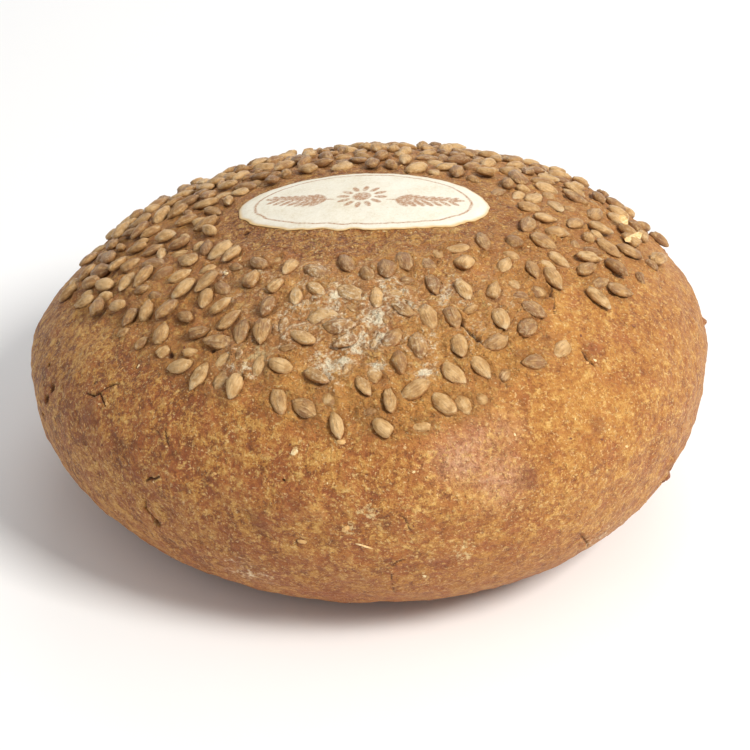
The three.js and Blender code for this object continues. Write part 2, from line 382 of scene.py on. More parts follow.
def on_crust(pixel):
    """The crust's point, in millimetres, that a photo pixel shows, or the nearest one inside the outline."""
    right = Vector((1, 0, 0))
    up = right.cross(view_direction)
    for inwards in np.arange(1, 0.8, -0.004):
        across, down = ((pixel[i] - TARGET_PIXEL[i]) * inwards / FOCAL_PIXELS for i in (0, 1))
        found, place, _, _ = crust.ray_cast(camera.location, view_direction + right * across - up * down)
        if found:
            return np.array(place) / MM


def crack_distance(points, line):
    """How far each point is from a line of points, and which share of the line's length it is beside."""
    best = np.full(len(points), 1e9)
    beside = np.zeros(len(points))
    for i, (start, end) in enumerate(zip(line, line[1:])):
        run = end - start
        share = np.clip(((points - start) @ run) / run.dot(run), 0, 1)
        gap = np.linalg.norm(points - start - share[:, None] * run, axis=1)
        closer = gap < best
        best[closer] = gap[closer]
        beside[closer] = (i + share[closer]) / (len(line) - 1)
    return best, beside


crack_lines = {name: [on_crust(p) for p in pixels] for name, (pixels, _, _) in CRACKS.items()}
pit_places = {name: on_crust(pixel) for name, (pixel, _, _) in PITS.items()}
blister_places = {name: on_crust(pixel) for name, (pixel, _, _) in BLISTERS.items()}

# The mesh is made finer along the cracks and pits, which are narrower than its squares
centres = np.array([face.center for face in crust.data.polygons]) / MM
finer = np.zeros(len(centres), bool)
for name, line in crack_lines.items():
    finer |= crack_distance(centres, line)[0] < CRACK_MARGIN
for name, place in pit_places.items():
    finer |= np.linalg.norm(centres - place, axis=1) < PITS[name][1] + PIT_MARGIN
bpy.ops.object.mode_set(mode="EDIT")
bpy.ops.mesh.select_all(action="DESELECT")
bpy.ops.object.mode_set(mode="OBJECT")
crust.data.polygons.foreach_set("select", finer)
bpy.ops.object.mode_set(mode="EDIT")
bpy.ops.mesh.select_mode(type="FACE")
bpy.ops.mesh.subdivide(number_cuts=CRACK_CUTS)
bpy.ops.object.mode_set(mode="OBJECT")

points = points_of(crust) / MM
flat_normals = np.empty(len(points) * 3, np.float32)
crust.data.vertex_normals.foreach_get("vector", flat_normals)
normals = flat_normals.reshape(-1, 3).astype(float)
crust_tree = kdtree.KDTree(len(points))
for i, point in enumerate(points):
    crust_tree.insert(point, i)
crust_tree.balance()


def rough(spacing, octaves, offset):
    """Fractal noise at each point of the crust, its largest features about this many millimetres apart."""
    shift = Vector((offset, -offset, 2 * offset))
    return np.array([noise.fractal(Vector(p) / spacing + shift, 0.6, 2.1, octaves) for p in points])


# Relief: broad lumps, then bumps of dough, then bran under the skin
RELIEF = [  # height, spacing, octaves, offset
    (0.55, 24.0, 2, 11.0), (0.34, 8.5, 2, 37.0), (0.26, 3.6, 2, 71.0), (0.16, 2.3, 1, 93.0),
]
relief = sum(height * rough(*bumps) for height, *bumps in RELIEF)
share_of_label = label_share(points[:, 0], points[:, 1])
on_label = (points[:, 2] > WIDEST_LEVEL) * (1 - soft_step(share_of_label, 0.98, 1.12))

# Each kernel lies in a bed, with a ring of dough risen unevenly round it. The more kernels, the lumpier the
# dough, and between them and round the label it is coarse.
BED_DEPTH, BED_SHARE, BED_FULL = 0.3, 1.1, 0.9  # the bed's size and the ring's are shares of the kernel's
BED_RISE, SNUG_RISE, RISE_LIMITS = 0.3, 0.75, (-0.5, 1.25)
RISE_LEAST, RISE_SPREAD = 0.3, 1.2
RING_SHARE, RING_WIDTH, RING_UNEVENNESS = 1.15, 0.32, (0.9, 2.6, 2, 17.0)
CROWD_REACH, CROWD_LIMITS = 11.0, (0.3, 1.6)
LUMPS = (0.55, 4.4, 2, 53.0)
CRUMBS = (0.42, 2.9, 3, 29.0)
CRUMBS_ABOVE, CRUMBS_ROUND_LABEL = 60, (1.5, 2.1)
PRESSED_BY_LABEL, LABEL_BED_RISE = 0.85, 0.12
bed = np.zeros(len(points))
crowd = np.zeros(len(points))
bed_relief = np.zeros(len(points))
rises = dice(41)
for kernel in kernels + buried_kernels:
    rise = (BED_RISE + SNUG_RISE * snug(kernel["centre"])) * (RISE_LEAST + RISE_SPREAD * next(rises))
    across = np.cross(kernel["along"], kernel["normal"])
    for _, i, gap in crust_tree.find_range(kernel["centre"], CROWD_REACH):
        crowd[i] += 1 - gap / CROWD_REACH
        offset = points[i] - kernel["centre"]
        u = offset.dot(kernel["along"]) / (kernel["length"] / 2)
        v = offset.dot(across) / (kernel["width"] / 2)
        share = math.hypot(u, v)
        if share < BED_FULL + 1:
            bed[i] = max(bed[i], 1 - max(0, share - BED_FULL))
            bed_relief[i] += -BED_DEPTH * max(0, BED_SHARE - share)
            bed_relief[i] += rise * math.exp(-(((share - RING_SHARE) / RING_WIDTH) ** 2))
crowded = soft_step(crowd, *CROWD_LIMITS)
uneven = 1 + RING_UNEVENNESS[0] * rough(*RING_UNEVENNESS[1:])
relief += crowded * LUMPS[0] * rough(*LUMPS[1:]) + np.clip(bed_relief * uneven, *RISE_LIMITS)
round_label = (points[:, 2] > CRUMBS_ABOVE) * (1 - soft_step(share_of_label, *CRUMBS_ROUND_LABEL))
coarse = np.maximum(0.8 * crowded, round_label)
relief += CRUMBS[0] * coarse * rough(*CRUMBS[1:])
relief *= 1 - PRESSED_BY_LABEL * on_label
relief += LABEL_BED_RISE * on_label

# Cracks have jagged edges, raised a little, and narrow towards their ends
JAGS, JAG_ASIDE, JAG_WIDTH = (1.5, 3, 61.0), 0.35, 0.7
LIP_RISE, LIP_AWAY, LIP_WIDTH = 0.18, 1.2, 0.45
jagged = rough(*JAGS)
crack_shade = np.zeros(len(points))
for name, line in crack_lines.items():
    _, half_width, depth = CRACKS[name]
    gap, beside = crack_distance(points, line)
    gap = np.abs(gap + JAG_ASIDE * jagged)
    taper = 0.35 + 0.65 * np.sin(np.clip(beside, 0, 1) * math.pi)
    open_share = np.clip(1 - gap / (half_width * (0.6 + 0.4 * taper) * (1 + JAG_WIDTH * jagged)), 0, 1)
    relief -= depth * taper * soft_step(open_share, 0, 0.8)
    relief += LIP_RISE * taper * np.exp(-(((gap - LIP_AWAY) / LIP_WIDTH) ** 2))
    crack_shade = np.maximum(crack_shade, soft_step(open_share, 0, 0.6))
for name, place in pit_places.items():
    _, radius, depth = PITS[name]
    gap = np.linalg.norm(points - place, axis=1) / radius
    gap *= 1 + 0.25 * np.array([noise.noise(Vector(p) * 1.1) for p in points])
    relief -= depth * (1 - soft_step(gap, 0.25, 1.0))
    crack_shade = np.maximum(crack_shade, 1 - soft_step(gap, 0.45, 1.05))
blistered = np.zeros(len(points))
for name, place in blister_places.items():
    _, radius, height = BLISTERS[name]
    gap = np.linalg.norm(points - place, axis=1) / radius
    relief += height * (1 - soft_step(gap, 0.35, 1.0))
    blistered = np.maximum(blistered, 1 - soft_step(gap, 0.7, 1.1))

# The base stays flat on the table, and the relief fades in above it
BASE_FADE = (0.4, 5.0)
above_base = soft_step(points[:, 2], *BASE_FADE)
moved = points + normals * (relief * above_base)[:, None]
moved[:, 2] = np.maximum(moved[:, 2], 0)
move_points(crust, moved * MM)
bpy.ops.object.shade_smooth()

# Flour lies in the middle of the front of the crown, where it was dusted, and the skin has pale, golden, dark
# and ruddy places of its own, and a pinkish highlight painted onto a bulge: photo pixel, radius in
# millimetres, strength
FLOUR_PATCHES = [
    ((372, 318), 6, 0.75), ((335, 292), 15, 0.5), ((400, 300), 12, 0.45), ((350, 335), 13, 0.55),
    ((330, 366), 8, 0.6), ((420, 350), 9, 0.45), ((295, 318), 13, 0.45), ((425, 372), 3.5, 0.75),
    ((378, 367), 3.5, 0.75), ((255, 290), 14, 0.3), ((480, 330), 9, 0.3), ((245, 358), 9, 0.4),
    ((450, 296), 11, 0.4), ((378, 344), 5, 0.75), ((318, 275), 8, 0.5), ((226, 274), 3, 0.5),
    ((390, 285), 8, 0.5), ((500, 300), 9, 0.3), ((250, 575), 9, 0.35), ((600, 540), 14, 0.3),
]
PALE_PATCHES = [
    ((262, 356), 4.5, 0.9), ((369, 514), 4.0, 0.6), ((349, 529), 3.0, 0.6), ((464, 553), 4.5, 0.6),
    ((431, 560), 2.5, 0.5), ((294, 452), 1.6, 0.9), ((338, 441), 2.4, 0.5), ((240, 372), 4.0, 0.5),
    ((298, 542), 2.2, 0.5), ((520, 505), 3.0, 0.4), ((600, 480), 3.0, 0.4), ((350, 470), 4.0, 0.3),
]
GOLDEN_PATCHES = [
    ((440, 335), 14, 0.7), ((500, 345), 14, 0.8), ((360, 385), 12, 0.7), ((400, 285), 10, 0.4),
    ((530, 290), 12, 0.5), ((310, 300), 10, 0.3),
    ((300, 392), 12, 0.8), ((340, 385), 13, 0.8), ((420, 398), 13, 0.7), ((470, 352), 8, 1.0),
    ((520, 402), 13, 0.3), ((465, 345), 5, 0.8), ((250, 400), 9, 0.2), ((560, 330), 11, 0.6),
    ((590, 400), 14, 0.5), ((400, 262), 9, 0.4),
]
DARK_PATCHES = [
    ((98, 420), 7.0, 0.7), ((263, 407), 4.5, 0.6), ((288, 505), 5.0, 0.6), ((262, 520), 4.5, 0.7),
    ((350, 536), 5.0, 0.35), ((255, 565), 7.0, 0.5), ((190, 555), 9.0, 0.4), ((529, 478), 4.5, 0.7),
    ((540, 338), 3.0, 0.6), ((375, 495), 8.0, 0.4), ((55, 375), 6.0, 0.5), ((160, 500), 8.0, 0.4),
    ((598, 349), 3.0, 0.7), ((546, 346), 2.5, 0.6), ((176, 452), 5.0, 0.9), ((192, 455), 4.0, 0.8),
    ((186, 466), 2.5, 0.9), ((672, 472), 3.0, 0.9), ((120, 450), 9.0, 0.4), ((330, 500), 6.0, 0.5),
]
PAINTED_SHEEN_PATCHES = [((462, 458), 8, 0.9), ((500, 478), 8, 0.8), ((478, 440), 6, 0.7), ((505, 430), 6, 0.5)]
RUDDY_PATCHES = [
    ((380, 560), 45, 1.0), ((300, 470), 34, 1.0), ((440, 450), 16, 0.8), ((90, 430), 30, 0.8),
    ((160, 490), 40, 1.0), ((250, 540), 40, 1.0), ((170, 300), 30, 0.6),
]


def laid_on(places, patches):
    """How strongly patches show at points in millimetres, from 0 to 1."""
    strongest = np.zeros(len(places))
    for pixel, radius, strength in patches:
        gap = np.linalg.norm(places - on_crust(pixel), axis=1) / radius
        strongest = np.maximum(strongest, strength * np.exp(-1.2 * gap**2))
    return strongest


EVEN_FROM, EVEN_TO = -70, 80  # from left to right, the skin grows less blotchy
patches_by_name = {
    "flour": FLOUR_PATCHES, "pale": PALE_PATCHES, "golden": GOLDEN_PATCHES, "dark": DARK_PATCHES,
    "ruddy": RUDDY_PATCHES, "painted_sheen": PAINTED_SHEEN_PATCHES,
}
for name, patches in patches_by_name.items():
    paint(crust, name, laid_on(points, patches))
paint(crust, "bed", bed)
paint(crust, "crowded", crowded)
paint(crust, "coarse", coarse)
paint(crust, "even", np.maximum(soft_step(points[:, 0], EVEN_FROM, EVEN_TO), 0.6 * crowded))
paint(crust, "crack_shade", crack_shade)
paint(crust, "blistered", blistered)
paint(crust, "height", points[:, 2])


def colour(red, green, blue):
    """A colour given in the photo's 0 to 255, as the linear values that materials take."""
    shares = [value / 255 for value in (red, green, blue)]
    return (*[s / 12.92 if s <= 0.04045 else ((s + 0.055) / 1.055) ** 2.4 for s in shares], 1)


class Recipe:
    """A material and short ways to add its nodes."""

    def __init__(self, name):
        self.material = bpy.data.materials.new(name)
        self.material.use_nodes = True
        self.tree = self.material.node_tree
        self.surface = self.tree.nodes["Principled BSDF"]

    def add(self, kind, **inputs):
        return self.fill(self.tree.nodes.new("ShaderNode" + kind), **inputs)

    def fill(self, taker, **inputs):
        """Gives inputs of a node, with _ for a space in their names, a value or a link."""
        for name, value in inputs.items():
            self.give(taker, name.replace("_", " "), value)
        return taker

    def give(self, taker, name, value):
        socket = taker.inputs[name]
        if isinstance(value, bpy.types.NodeSocket):
            self.tree.links.new(value, socket)
        else:
            socket.default_value = value

    def millimetres(self, stretch=(1, 1, 1)):
        """The object's own coordinates in millimetres."""
        place = self.add("TexCoord").outputs["Object"]
        scale = [1000 * share for share in stretch]
        return self.add("Mapping", Vector=place, Scale=scale).outputs["Vector"]

    def noise(self, place, spacing, detail=3.0, roughness=0.55, distortion=0.0):
        made = self.add("TexNoise", Vector=place, Scale=1 / spacing, Detail=detail, Roughness=roughness,
                        Distortion=distortion)
        return made.outputs["Fac"]

    def remap(self, value, low, high, to_low=0.0, to_high=1.0):
        """A soft step from one value to another while the given one goes from low to high."""
        made = self.add("MapRange")
        made.interpolation_type = "SMOOTHSTEP"
        for name, given in zip(("Value", "From Min", "From Max", "To Min", "To Max"),
                               (value, low, high, to_low, to_high)):
            self.give(made, name, given)
        return made.outputs["Result"]

    def math(self, operation, *values):
        made = self.add("Math")
        made.operation = operation
        for i, value in enumerate(values):
            self.give(made, i, value)
        return made.outputs[0]

    def plus(self, first, *others):
        for other in others:
            first = self.math("ADD", first, other)
        return first

    def minus(self, first, second):
        return self.math("SUBTRACT", first, second)

    def times(self, first, second):
        return self.math("MULTIPLY", first, second)

    def ramp(self, value, stops):
        made = self.add("ValToRGB", Fac=value)
        elements = made.color_ramp.elements
        while len(elements) < len(stops):
            elements.new(0.5)
        for element, (place, tint) in zip(elements, stops):
            element.position = place
            element.color = tint
        return made.outputs["Color"]

    def blend(self, share, first, second):
        """The second colour laid over the first where the share is 1."""
        made = self.add("Mix")
        made.data_type = "RGBA"
        for i, value in ((0, share), (6, first), (7, second)):
            self.give(made, i, value)
        return made.outputs[2]

    def coat(self, share, *tint):
        """Lays a colour, in the photo's 0 to 255, over the material's own where the share is 1."""
        self.shade = self.blend(share, self.shade, colour(*tint))

    def painted(self, name, output="Fac"):
        made = self.tree.nodes.new("ShaderNodeAttribute")
        made.attribute_name = name
        return made.outputs[output]

    def relief(self, height, depth_mm, under=None):
        made = self.add("Bump", Height=height, Distance=depth_mm * MM)
        if under is not None:
            self.tree.links.new(under, made.inputs["Normal"])
        return made.outputs["Normal"]


baked = Recipe("baked_wholemeal_crust")
place = baked.millimetres((1, 1, 1.12))
patches = baked.noise(place, 17, detail=2)
mottle = baked.noise(place, 3.8, detail=3, roughness=0.6, distortion=0.2)
grain = baked.noise(place, 1.5, detail=4, roughness=0.75, distortion=0.1)
grit = baked.noise(place, 0.5, detail=2)
weights = ((patches, 0.14), (mottle, 0.35), (grain, 0.38), (grit, 0.18))
warmth = baked.plus(*[baked.times(noise_made, weight) for noise_made, weight in weights])
# The skin is blotchier on the left than on the right and between the kernels
MEAN_WARMTH = 0.53
blotchy = baked.remap(baked.painted("even"), 0, 1, 1.55, 0.78)
warmth = baked.plus(baked.times(baked.minus(warmth, MEAN_WARMTH), blotchy), MEAN_WARMTH)
warmth = baked.plus(warmth, baked.times(baked.painted("golden"), 0.06))
warmth = baked.minus(warmth, baked.times(baked.painted("dark"), 0.08))
baked.shade = baked.ramp(warmth, [
    (0.42, colour(126, 71, 32)),
    (0.48, colour(158, 96, 43)),
    (0.53, colour(180, 117, 52)),
    (0.58, colour(198, 140, 67)),
    (0.66, colour(216, 166, 92)),
])
# Redder places, as large as a thumb, the paler skin between the kernels, golden places and a pinkish painted
# highlight
ruddy = baked.noise(place, 7.0, detail=3, distortion=0.3)
ruddy = baked.plus(ruddy, baked.times(baked.painted("ruddy"), 0.15))
baked.coat(baked.remap(ruddy, 0.52, 0.72, 0, 0.5), 164, 88, 46)
baked.coat(baked.times(baked.painted("crowded"), 0.38), 210, 146, 80)
baked.coat(baked.times(baked.painted("golden"), 0.4), 212, 146, 62)
# The pinkish patch is painted sheen: a highlight laid into the colour where the light shines on a bulge
painted_sheen = baked.times(baked.painted("painted_sheen"), baked.remap(grain, 0.36, 0.64, 0.2, 0.72))
baked.coat(painted_sheen, 226, 178, 146)
# Flakes of bran, golden and uneven in shape, more of them in some places, and a few dark ones
fleck_noise = baked.noise(place, 1.6, detail=5, roughness=0.74)
fleck_crowd = baked.times(baked.noise(place, 6, detail=2), 0.20)
golden = baked.remap(baked.plus(fleck_noise, fleck_crowd), 0.62, 0.76)
baked.coat(baked.times(golden, 0.7), 232, 186, 106)
specks = baked.remap(baked.noise(place, 0.9, detail=2, roughness=0.6), 0.595, 0.69)
baked.coat(baked.times(specks, 0.6), 236, 202, 142)
bran = baked.remap(baked.noise(place, 2.6, detail=4, roughness=0.65, distortion=0.3), 0.60, 0.70)
baked.coat(baked.times(bran, 0.42), 128, 68, 38)
pale_share = baked.plus(baked.times(baked.painted("pale"), 0.34), fleck_noise)
baked.coat(baked.remap(pale_share, 0.62, 0.78, 0, 0.8), 228, 198, 144)
# Between the kernels and round the label the skin is coarse: painted shade in its small pits, and whitish
# specks
crumb = baked.noise(place, 1.15, detail=3, roughness=0.7)
# Painted shade in the dips of the crumbly relief
pitted = baked.times(baked.remap(crumb, 0.43, 0.33), baked.painted("coarse"))
baked.coat(baked.times(pitted, 0.45), 124, 66, 34)
white = baked.remap(baked.noise(place, 0.9, detail=2), 0.66, 0.73)
white = baked.times(white, baked.painted("coarse"))
baked.coat(baked.times(white, 0.5), 240, 220, 178)
# Blisters redder; painted shade round each kernel and in the cracks and pits; the foot of the loaf browner
baked.coat(baked.times(baked.painted("blistered"), 0.45), 140, 78, 42)
# Painted shade where the dough meets each kernel
baked.coat(baked.remap(baked.painted("bed"), 0.75, 1.0, 0, 0.3), 146, 96, 54)
# Painted shade in the cracks and pits
baked.coat(baked.times(baked.painted("crack_shade"), 0.85), 74, 40, 22)
baked.coat(baked.remap(baked.painted("height"), 42, 8, 0, 0.3), 184, 98, 38)
baked.coat(baked.remap(baked.painted("height"), 16, 1, 0, 0.4), 126, 68, 30)
# Flour lies in drifts, broken up by the grain, over a faint dusting
dusty = baked.noise(place, 1.5, detail=5, roughness=0.72)
drifts = baked.times(baked.minus(baked.noise(place, 6.5, detail=3), 0.5), 1.5)
drifted = baked.times(baked.painted("flour"), baked.plus(drifts, 0.40))
flour_share = baked.plus(drifted, dusty)
baked.coat(baked.times(baked.painted("flour"), 0.22), 226, 186, 132)
baked.coat(baked.remap(flour_share, 0.61, 0.88, 0, 0.95), 255, 240, 206)
baked.fill(baked.surface, Base_Color=baked.shade, Roughness=0.55, Specular_IOR_Level=0.33,
           Sheen_Weight=0.08, Sheen_Roughness=0.45, Sheen_Tint=(1.0, 0.84, 0.72, 1))
gritty = baked.relief(grit, 0.28)
crumbly = baked.relief(baked.times(crumb, baked.painted("coarse")), 2.0, under=gritty)
grainy = baked.relief(grain, 1.1, under=crumbly)
baked.fill(baked.surface, Normal=baked.relief(mottle, 1.2, under=grainy))
crust.data.materials.append(baked.material)

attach(crust, "root")
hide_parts("loaf")

# ---------------------------------------------------------------------------------------------------------
# Sunflower kernels
# Hulled kernels: flat drops with a blunt and a pointed end, striped along their length, tan with a paler tip.
# They were pressed into the dough and baked fast. Each kind is one piece of joined kernels.

KERNEL_SEGMENTS, KERNEL_RINGS = 10, 7
KERNEL_LIFT, KERNEL_SNUG = 0.2, 0.55
KERNEL_RIDGES, RIDGE_DEPTH = 5, 0.025
KERNEL_BEND, KERNEL_TWIST = 0.22, 0.3
KERNEL_UNEVENNESS, UNEVENNESS_TURNS = 0.17, 1.9
KERNEL_NARROWER = (0.76, 1.0)
STRIPE_STRETCH = (1.8, 0.14, 1.8)
KERNEL_KINDS = {  # share of all, taper to the point, nib, fullness and hollow of the top, where it is cut
    "plump": (0.38, 0.24, 0.28, 1.05, 0.0, 1.0),
    "slim": (0.27, 0.36, 0.38, 0.95, 0.0, 1.0),
    "split": (0.24, 0.24, 0.20, 0.85, 0.38, 1.0),
    "broken": (0.11, 0.10, 0.0, 1.1, 0.0, 0.35),
}


def kernel_form(kind, bend, twist, shift):
    """A kernel's points on a half size of 1: x across, y towards the tip, z out of the crust."""
    _, taper, nib, fullness, hollow, cut = KERNEL_KINDS[kind]
    x, y, z = ball_points.T.copy()
    ridges = 1 + RIDGE_DEPTH * np.cos(KERNEL_RIDGES * np.arctan2(z, x) + 6 * shift)
    narrow = (1 - taper * soft_step(y, -0.3, 1.0) - nib * soft_step(y, 0.7, 1.0)) * ridges
    x, z = x * narrow, z * narrow**0.7
    z = np.where(z > 0, fullness * z, 0.8 * z)
    z -= hollow * np.clip(1 - (x / 0.55) ** 2, 0, 1) * np.clip(1 - (y / 0.8) ** 2, 0, 1) * (z > 0)
    y = np.minimum(y, cut + 0.12 * (y - cut))
    x = x + bend * (y**2 - 0.3) + twist * y * z
    form = np.stack([x, y, z], -1)
    aways = [Vector((31 * shift, 17 * shift, 7 * shift + 40 * n)) for n in range(3)]
    pushes = np.array([[noise.noise(Vector(p) * UNEVENNESS_TURNS + away) for away in aways] for p in form])
    return form + KERNEL_UNEVENNESS * pushes


bpy.ops.object.select_all(action="DESELECT")
bpy.ops.mesh.primitive_uv_sphere_add(segments=KERNEL_SEGMENTS, ring_count=KERNEL_RINGS, radius=1)
ball = bpy.context.object
ball_points = points_of(ball)[:, [0, 2, 1]] * [1, 1, -1]
ball_faces = sorted(list(face.vertices) for face in ball.data.polygons)  # sorted, to be the same in each run
bpy.data.objects.remove(ball)

hulled = Recipe("hulled_sunflower_kernel")
grain_place = hulled.painted("kernel_grain", "Vector")
stripes = hulled.noise(grain_place, 1.0, detail=3, roughness=0.65)
blush = hulled.noise(hulled.millimetres(), 2.6, detail=3)
tone = hulled.plus(hulled.painted("kernel_tone"), hulled.remap(blush, 0.3, 0.7, -0.35, 0.35))
hulled.shade = hulled.ramp(tone, [
    (0.0, colour(148, 102, 56)),
    (0.35, colour(178, 132, 76)),
    (0.70, colour(198, 152, 92)),
    (0.95, colour(218, 176, 118)),
])
hulled.coat(hulled.remap(stripes, 0.48, 0.32, 0, 0.4), 146, 102, 58)
hulled.coat(hulled.remap(stripes, 0.54, 0.70, 0, 0.4), 226, 196, 146)
by_tone = hulled.remap(hulled.painted("kernel_tone"), 0, 1, -0.2, 0.1)
tip = hulled.remap(hulled.plus(hulled.painted("kernel_tip"), by_tone), 0.68, 1.0, 0, 0.6)
hulled.coat(tip, 222, 200, 160)
# The dough has crept up the sides, unevenly
crumb = hulled.noise(hulled.millimetres(), 1.2, detail=4, roughness=0.75)
creep_share = hulled.minus(hulled.painted("kernel_height"), hulled.times(crumb, 1.3))
crept = hulled.times(hulled.remap(creep_share, -0.30, -0.62), hulled.painted("snug"))
hulled.coat(hulled.times(crept, 0.85), 182, 124, 68)
# The rim is paler, the ridge of the top has a painted highlight, the edge under them painted shade, and flour
# dusts the rest
rim = hulled.math("ABSOLUTE", hulled.minus(hulled.painted("kernel_height"), 0.42))
rim = hulled.times(hulled.remap(rim, 0.22, 0.05), hulled.remap(crumb, 0.44, 0.60))
hulled.coat(hulled.times(rim, 0.45), 222, 192, 144)
# Painted highlight along the ridge of the top
ridge_highlight = hulled.remap(hulled.painted("kernel_height"), 0.72, 1.05)
ridge_highlight = hulled.times(ridge_highlight, hulled.remap(stripes, 0.4, 0.6))
hulled.coat(hulled.times(ridge_highlight, 0.4), 236, 200, 144)
# Painted shade on the kernel's lower side, where it meets the crust
edge = hulled.remap(hulled.painted("kernel_height"), 0.15, -0.35, 0, 0.36)
hulled.coat(edge, 132, 90, 50)
dust = hulled.plus(hulled.times(hulled.painted("flour"), 0.34), crumb)
hulled.coat(hulled.remap(dust, 0.62, 0.84, 0, 0.7), 238, 222, 190)
hulled.fill(hulled.surface, Base_Color=hulled.shade, Roughness=0.36, Specular_IOR_Level=0.55,
            Normal=hulled.relief(crumb, 0.6, under=hulled.relief(stripes, 0.6)))

looks = dice(23)
kernel_meshes = {kind: [] for kind in (*KERNEL_KINDS, "half_buried")}
kind_ends = np.cumsum([row[0] for row in KERNEL_KINDS.values()])
for n, kernel in enumerate(kernels + buried_kernels):
    pick, bend, twist, tone_draw, shift, narrow = (next(looks) for _ in range(6))
    kind = list(KERNEL_KINDS)[min(int(np.searchsorted(kind_ends, pick)), len(kind_ends) - 1)]
    form = kernel_form(kind, KERNEL_BEND * (bend - 0.5), KERNEL_TWIST * (twist - 0.5), shift)
    half_width = kernel["width"] / 2 * between(KERNEL_NARROWER, narrow)
    sized = form * [half_width, kernel["length"] / 2, kernel["thickness"] / 2]
    nose, roll = kernel["nose"], kernel["roll"]
    tip = np.array([[1, 0, 0], [0, math.cos(nose), -math.sin(nose)], [0, math.sin(nose), math.cos(nose)]])
    lean = np.array([[math.cos(roll), 0, math.sin(roll)], [0, 1, 0], [-math.sin(roll), 0, math.cos(roll)]])
    axes = np.stack([np.cross(kernel["along"], kernel["normal"]), kernel["along"], kernel["normal"]], 1)
    lift = (KERNEL_LIFT - kernel["sink"] - KERNEL_SNUG * snug(kernel["centre"])) * kernel["normal"]
    laid = sized @ tip.T @ lean.T @ axes.T + kernel["centre"] + lift
    stretched = sized * STRIPE_STRETCH + 40 * shift
    pile = kind if n < len(kernels) else "half_buried"
    kernel_meshes[pile].append((laid, form, stretched, tone_draw, snug(kernel["centre"])))

for kind, made in kernel_meshes.items():
    count = len(ball_points)
    faces = [[v + n * count for v in face] for n in range(len(made)) for face in ball_faces]
    mesh = bpy.data.meshes.new("kernels_" + kind)
    laid = np.concatenate([row[0] for row in made])
    mesh.from_pydata((laid * MM).tolist(), [], faces)
    mesh.shade_smooth()
    piece = bpy.data.objects.new("kernels_" + kind, mesh)
    bpy.context.scene.collection.objects.link(piece)
    forms = np.concatenate([row[1] for row in made])
    paint(piece, "kernel_tone", np.repeat([row[3] for row in made], count))
    paint(piece, "snug", np.repeat([row[4] for row in made], count))
    paint(piece, "kernel_tip", forms[:, 1])
    paint(piece, "kernel_height", forms[:, 2])
    paint(piece, "flour", laid_on(laid, FLOUR_PATCHES))
    layer = mesh.attributes.new("kernel_grain", "FLOAT_VECTOR", "POINT")
    layer.data.foreach_set("vector", np.concatenate([row[2] for row in made]).astype(np.float32).ravel())
    mesh.materials.append(hulled.material)
    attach(piece, "root")
    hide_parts("loaf")

# ---------------------------------------------------------------------------------------------------------
# Bran flakes and chips
# Flakes of bran and bits of broken kernel that cling to the crust all over. The larger ones that the photo
# shows lie where it shows them.

FLAKES = 420
FLAKE_LENGTH, FLAKE_SLENDERNESS, FLAKE_THICKNESS = (0.7, 2.1), (0.35, 0.8), 0.22
FLAKE_CORNERS = 7
FLAKE_BEND, FLAKE_LIFT, CHIP_THICKNESS = 0.3, 0.05, 0.6
LOWEST_FLAKE, MOST_BED = 6, 0.6
CHIPS = [  # photo pixel, length, width, bend, turn in the photo, lift in millimetres, tone
    ((619, 226), 5.2, 3.6, 0.1, 2.2, 3.6, 0.84), ((628, 243), 9.4, 3.2, 0.6, 0.5, 3.6, 0.84),
    ((367, 547), 6.6, 1.2, 0.25, -0.35, 0.1, 0.82), ((294, 452), 3.0, 2.0, 0.1, 0.2, 0.1, 0.95),
    ((226, 274), 2.0, 1.6, 0.0, 0.0, 0.6, 1.0), ((348, 527), 3.4, 2.2, 0.2, 1.0, 0.1, 0.7),
    ((302, 541), 3.0, 2.0, 0.2, 0.0, 0.1, 0.7), ((339, 441), 3.4, 1.8, 0.3, -0.3, 0.2, 0.7),
]


def flake_form(draws, corners, bend):
    """A flake on a half size of 1: a low uneven dome, closed underneath."""
    turns = 2 * math.pi * np.arange(corners) / corners
    reach = 1 - 0.35 * np.array([next(draws) for _ in range(corners)])
    rim = np.stack([reach * np.cos(turns), reach * np.sin(turns), 0 * turns], -1)
    form = np.concatenate([rim, [[0, 0, 1], [0, 0, -1]]])
    form[:, 1] += bend * (form[:, 0] ** 2 - 0.5)
    return form


flake_faces = []
for n in range(FLAKE_CORNERS):
    after = (n + 1) % FLAKE_CORNERS
    flake_faces += [[n, after, FLAKE_CORNERS], [after, n, FLAKE_CORNERS + 1]]

scatter = dice(59)
flakes = []
while len(flakes) < FLAKES:
    index = int(next(scatter) * len(points))
    turn, long, wide, bend, tone_draw = (next(scatter) for _ in range(5))
    if on_label[index] > 0.05 or points[index][2] < LOWEST_FLAKE or bed[index] > MOST_BED:
        continue
    length = between(FLAKE_LENGTH, long**2)
    size = (length, length * between(FLAKE_SLENDERNESS, wide), FLAKE_THICKNESS)
    flakes.append((index, 2 * math.pi * turn, size, FLAKE_BEND * bend, FLAKE_LIFT, tone_draw))
right_of_photo = np.array([1.0, 0, 0])
for pixel, length, width, bend, turn, lift, tone_draw in CHIPS:
    index = crust_tree.find(on_crust(pixel))[1]
    flakes.append((index, turn, (length, width, CHIP_THICKNESS), bend, lift, tone_draw))

laid_flakes = []
for index, turn, size, bend, lift, tone_draw in flakes:
    normal = normals[index]
    if lift > 1:  # a chip that lies across the kernels, tilted up
        normal = normal - np.array(view_direction)
        normal /= np.linalg.norm(normal)
    first = right_of_photo - normal * normal.dot(right_of_photo)
    first /= np.linalg.norm(first)
    second = np.cross(normal, first)
    along = first * math.cos(turn) + second * math.sin(turn)
    axes = np.stack([along, second * math.cos(turn) - first * math.sin(turn), normal], 1)
    sized = flake_form(scatter, FLAKE_CORNERS, bend) * (np.array(size) / 2)
    laid_flakes.append(sized @ axes.T + moved[index] + normal * lift)

